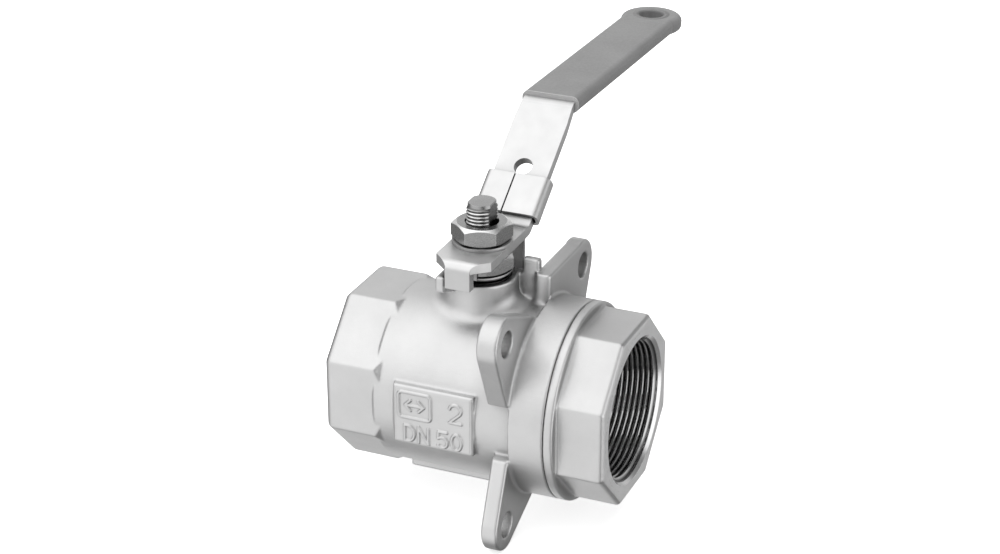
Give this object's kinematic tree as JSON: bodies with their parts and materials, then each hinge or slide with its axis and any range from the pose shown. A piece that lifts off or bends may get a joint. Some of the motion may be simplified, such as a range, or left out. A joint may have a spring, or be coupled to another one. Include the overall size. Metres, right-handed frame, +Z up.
{
  "type": "ball valve",
  "caption": "Two-piece threaded ball valve with fixing lugs, quarter-turn hand lever in a dipped grip sleeve and a padlock slide; shown closed.",
  "frame": {"origin": "centre of the inlet's face, on the pipe's axis", "axes": "+X along the pipe from inlet to outlet, +Z up along the stem, +Y along the lever when the valve is closed"},
  "size_m": [0.1227, 0.2637, 0.1534],
  "materials": {
    "cast_stainless": "bead-blasted stainless casting, satin",
    "machined_stainless": "turned stainless",
    "sheet_stainless": "smooth rolled stainless sheet",
    "polished_stainless": "polished stainless",
    "spring_steel": "spring steel, dull",
    "ptfe": "off-white PTFE",
    "vinyl": "grey dipped vinyl, fine matt"
  },
  "bodies": {
    "valve_body": {"body_casting": "cast_stainless", "end_cap": "cast_stainless", "body_gasket": "ptfe", "inlet_seat": "ptfe", "outlet_seat": "ptfe", "thrust_washer": "ptfe", "packing_bottom_ring": "ptfe", "packing_chevrons": "ptfe", "packing_top_ring": "ptfe", "gland_ring": "machined_stainless"},
    "lever_and_stem": {"stem": "machined_stainless", "antistatic_balls": "polished_stainless", "antistatic_springs": "spring_steel", "lower_disc_spring": "spring_steel", "upper_disc_spring": "spring_steel", "tab_washer": "sheet_stainless", "gland_nut": "machined_stainless", "lever": "sheet_stainless", "lever_washer": "spring_steel", "lever_nut": "machined_stainless", "grip_sleeve": "vinyl"},
    "ball": {"ball": "polished_stainless"},
    "lock_slide": {"lock_slide": "sheet_stainless"}
  },
  "joints": [
    {"name": "lever_turn", "type": "hinge", "parent": "valve_body", "child": "lever_and_stem", "pos_m": [0.055, 0, 0], "axis": [0, 0, 1], "range_deg": [0, 90]},
    {"name": "ball_turn", "type": "hinge", "parent": "valve_body", "child": "ball", "pos_m": [0.055, 0, 0], "axis": [0, 0, 1], "range_deg": [0, 90]},
    {"name": "padlock_slide", "type": "slide", "parent": "lever_and_stem", "child": "lock_slide", "axis": [0, 0.8089, 0.5879], "range_m": [-0.0032, 0.012]}
  ],
  "couplings": [
    {"joint": "ball_turn", "follows": "lever_turn", "ratio": 1}
  ]
}
